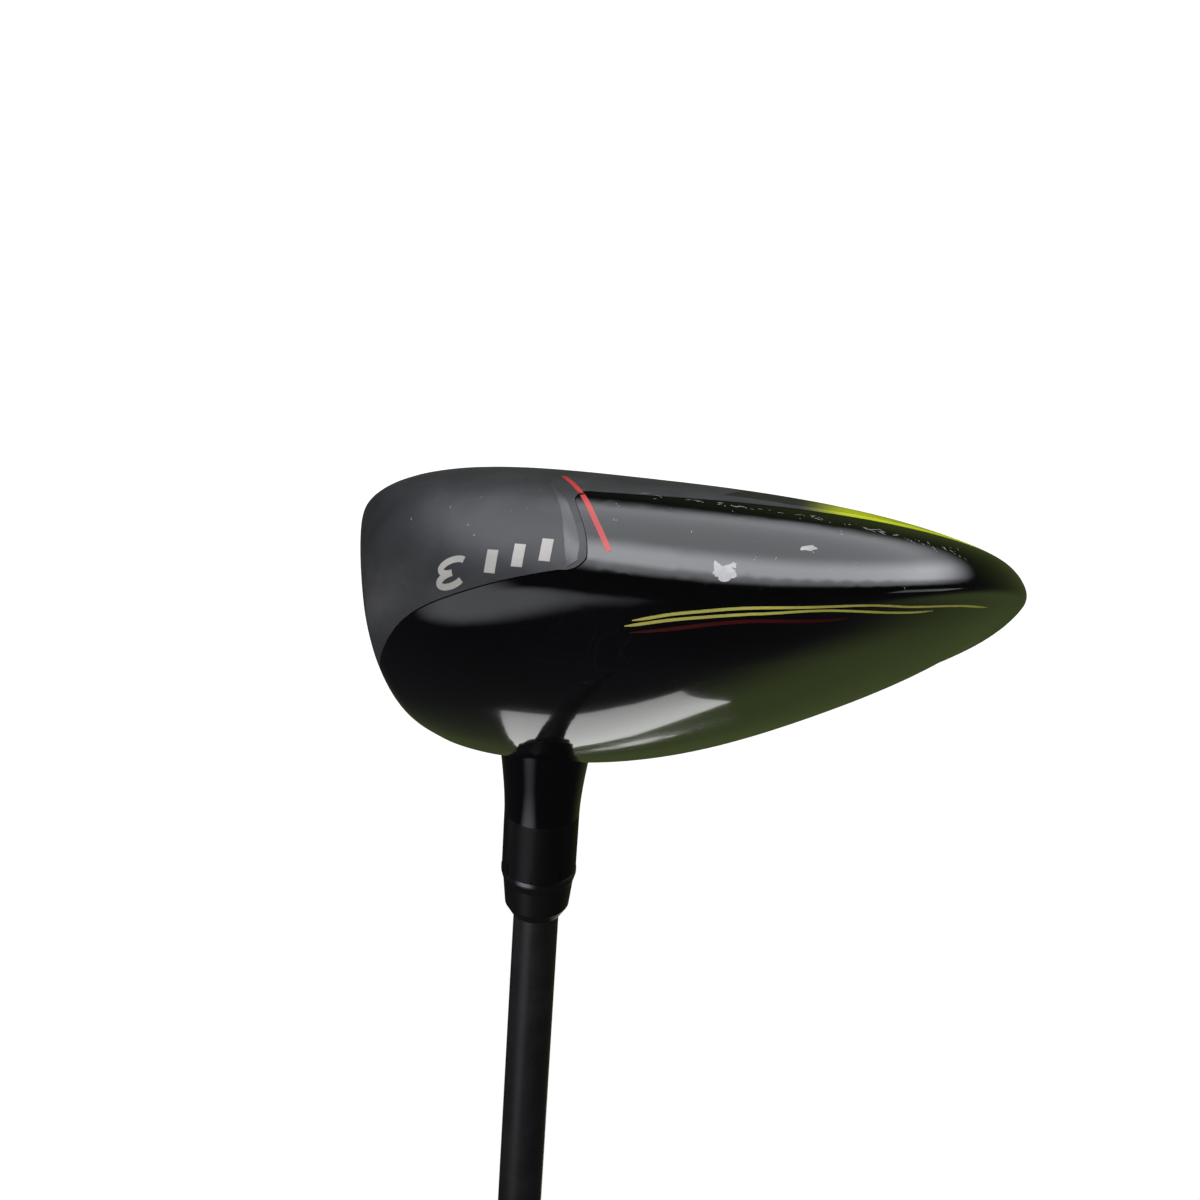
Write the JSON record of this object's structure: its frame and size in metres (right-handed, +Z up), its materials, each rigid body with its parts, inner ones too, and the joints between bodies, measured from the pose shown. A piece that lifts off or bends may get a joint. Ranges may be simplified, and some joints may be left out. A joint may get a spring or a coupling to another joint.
{
  "type": "fairway wood",
  "caption": "Adjustable fairway wood golf club: hollow head with bonded crown shell, bolted hosel adapter, rear sole weight, tapered shaft and rubber grip.",
  "frame": {"origin": "on the ground plane, in the flat rest pad of the sole, under the middle of the head and in the plane of the shaft axis", "axes": "+Z up with the club soled at its lie angle; +Y away from the target, from the face to the back of the head; +X from the toe to the heel and the player"},
  "size_m": [0.6803, 0.0891, 0.9268],
  "materials": {
    "matt_black": "matt painted steel",
    "face_steel": "dark bead-blasted face steel",
    "gloss_black": "gloss lacquer over carbon",
    "gloss_hosel": "gloss black paint",
    "panel_yellow": "satin fluorescent yellow",
    "weight_steel": "turned, satin",
    "screw_steel": "black zinc",
    "melt": "tacky, translucent",
    "sleeve_black": "matt black anodised",
    "ring_silver": "bright turned",
    "ferrule_black": "satin black",
    "shaft_black": "matt carbon",
    "plug_grey": "sintered",
    "tape_white": "paper tape",
    "rubber_black": "moulded rubber",
    "soft_ring": "nylon"
  },
  "bodies": {
    "head": {"head_body": "matt_black", "face_plate": "face_steel", "crown_shell": "gloss_black", "sole_panel": "panel_yellow", "front_weight": "weight_steel", "hot_melt_pad": "melt", "hosel_tube": "gloss_hosel", "bolt_washer": "ring_silver"},
    "hosel_bolt": {"hosel_bolt": "screw_steel", "bolt_retainer": "soft_ring"},
    "rear_weight": {"rear_weight": "weight_steel", "weight_washer": "ring_silver"},
    "weight_screw": {"rear_weight_screw": "screw_steel"},
    "shaft": {"hosel_sleeve": "sleeve_black", "sleeve_ring": "ring_silver", "ferrule": "ferrule_black", "shaft_tube": "shaft_black", "tip_plug": "plug_grey", "grip_tape": "tape_white", "grip": "rubber_black"}
  },
  "joints": [
    {"name": "sleeve_lift", "type": "slide", "parent": "head", "child": "shaft", "axis": [0.5373, 0, 0.8434], "range_m": [0, 0.045]},
    {"name": "hosel_bolt_turn", "type": "hinge", "parent": "head", "child": "hosel_bolt", "pos_m": [0.03945, 0, 0.01012], "axis": [0.5373, 0, 0.8434], "continuous": true},
    {"name": "weight_slide", "type": "slide", "parent": "head", "child": "rear_weight", "axis": [0, 0.1908, -0.9816], "range_m": [0, 0.01]},
    {"name": "weight_screw_turn", "type": "hinge", "parent": "rear_weight", "child": "weight_screw", "pos_m": [0, 0.054, 0.00206], "axis": [0, 0.1908, -0.9816], "continuous": true}
  ]
}
